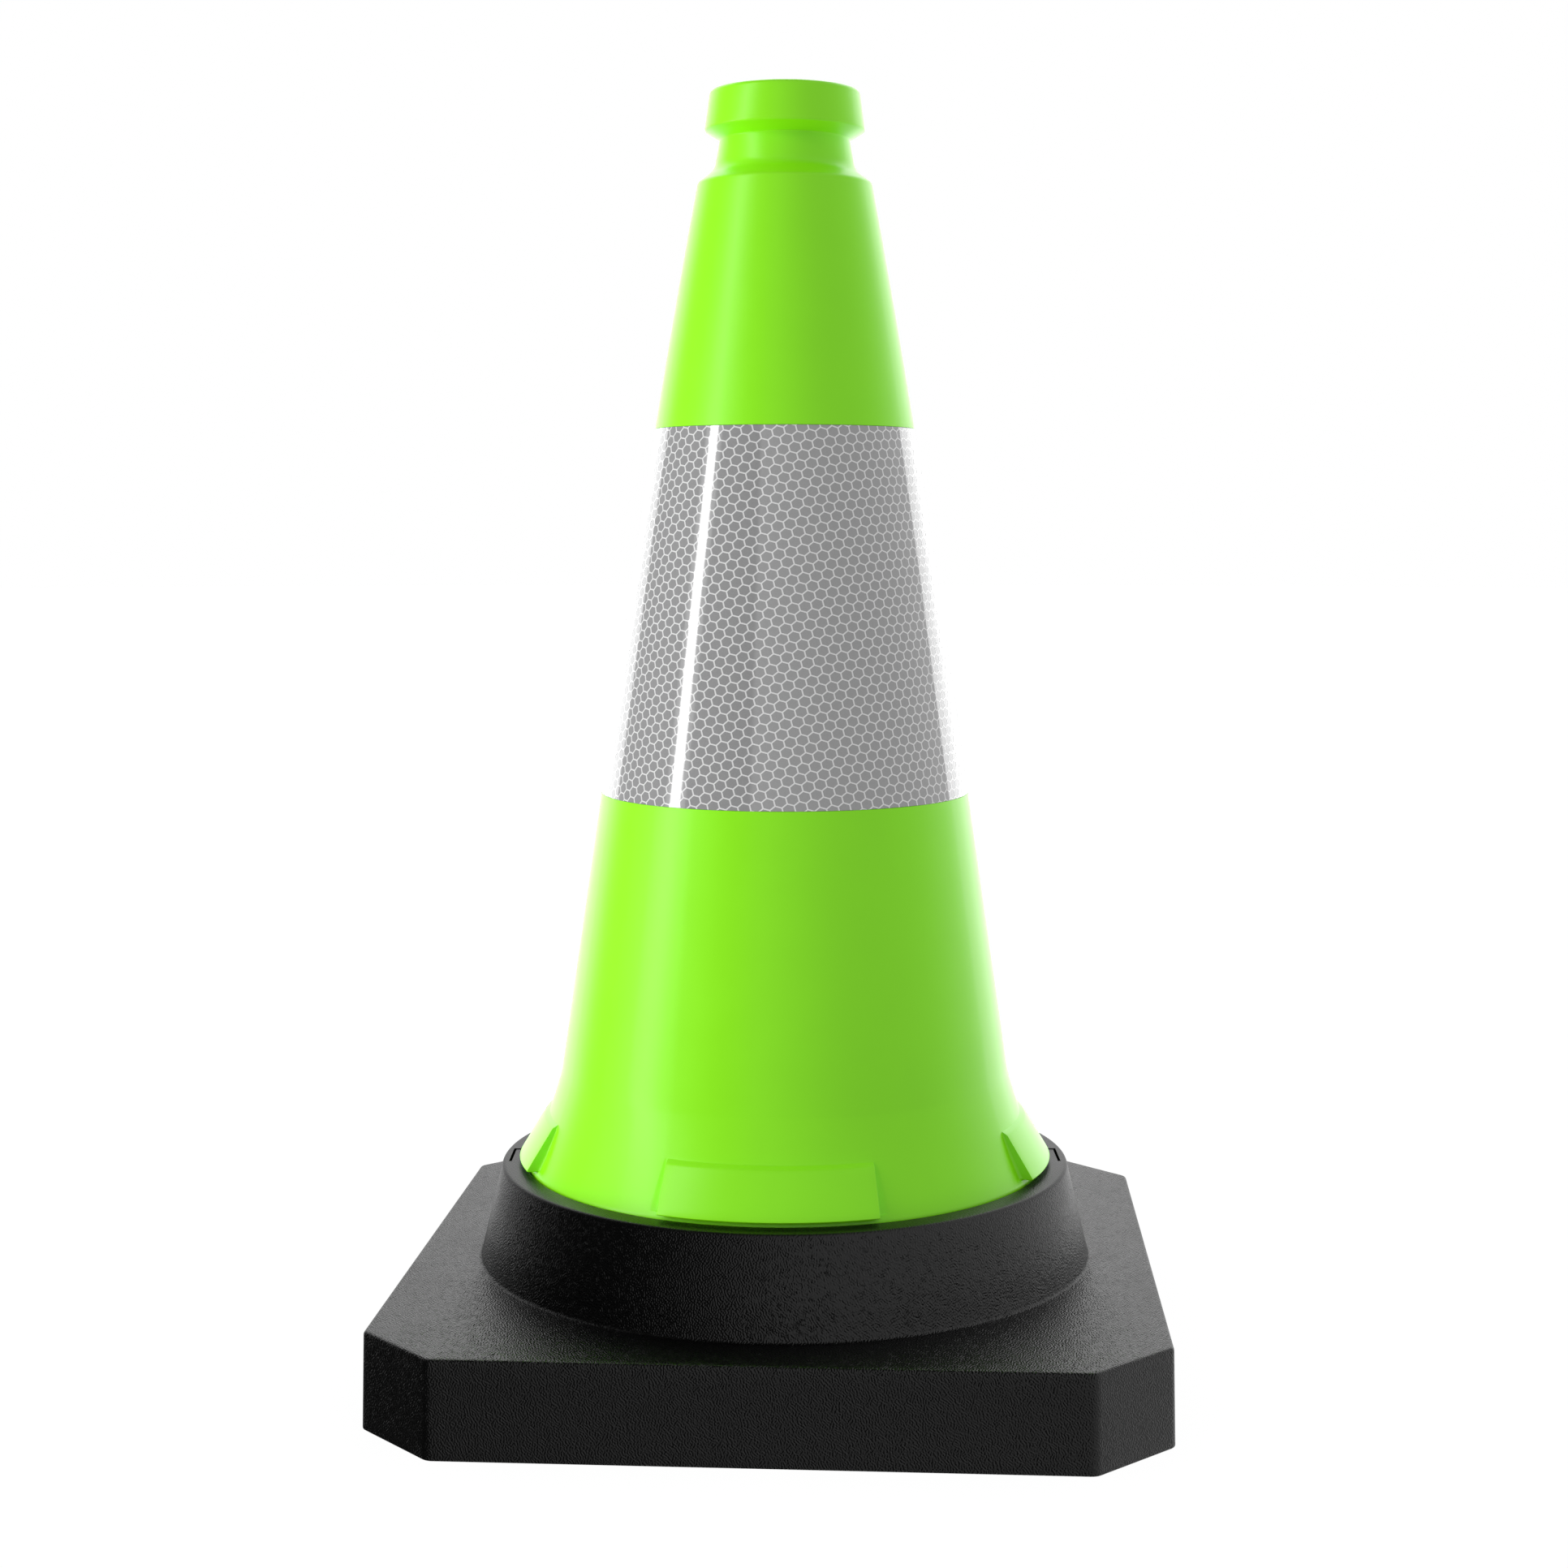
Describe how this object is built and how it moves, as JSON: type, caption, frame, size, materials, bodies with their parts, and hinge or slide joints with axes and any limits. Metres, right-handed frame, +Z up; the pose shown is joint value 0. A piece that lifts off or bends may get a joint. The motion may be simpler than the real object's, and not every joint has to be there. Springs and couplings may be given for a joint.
{
  "type": "traffic cone",
  "caption": "Hollow traffic cone with a grip ring, a flush reflective sleeve and lift lugs, standing in the collar of a heavy square base with cut corners. The cone lifts out.",
  "frame": {"origin": "centre of the base's underside, on the cone's axis", "axes": "+Z up along the cone's axis, X and Y square to the base's sides, lift lugs on +X, -X, +Y and -Y"},
  "size_m": [0.2978, 0.2978, 0.5],
  "materials": {
    "cone_body": "satin moulded polyethylene, fluorescent green",
    "reflective_band": "glossy prismatic retroreflective film with honeycomb cells, silver white",
    "base": "black moulded recycled plastic with a fine leather grain"
  },
  "bodies": {
    "base": {"base": "base"},
    "cone": {"cone_body": "cone_body", "reflective_band": "reflective_band"}
  },
  "joints": [
    {"name": "cone_lift", "type": "slide", "parent": "base", "child": "cone", "axis": [0, 0, 1], "range_m": [0, 0.12]}
  ]
}
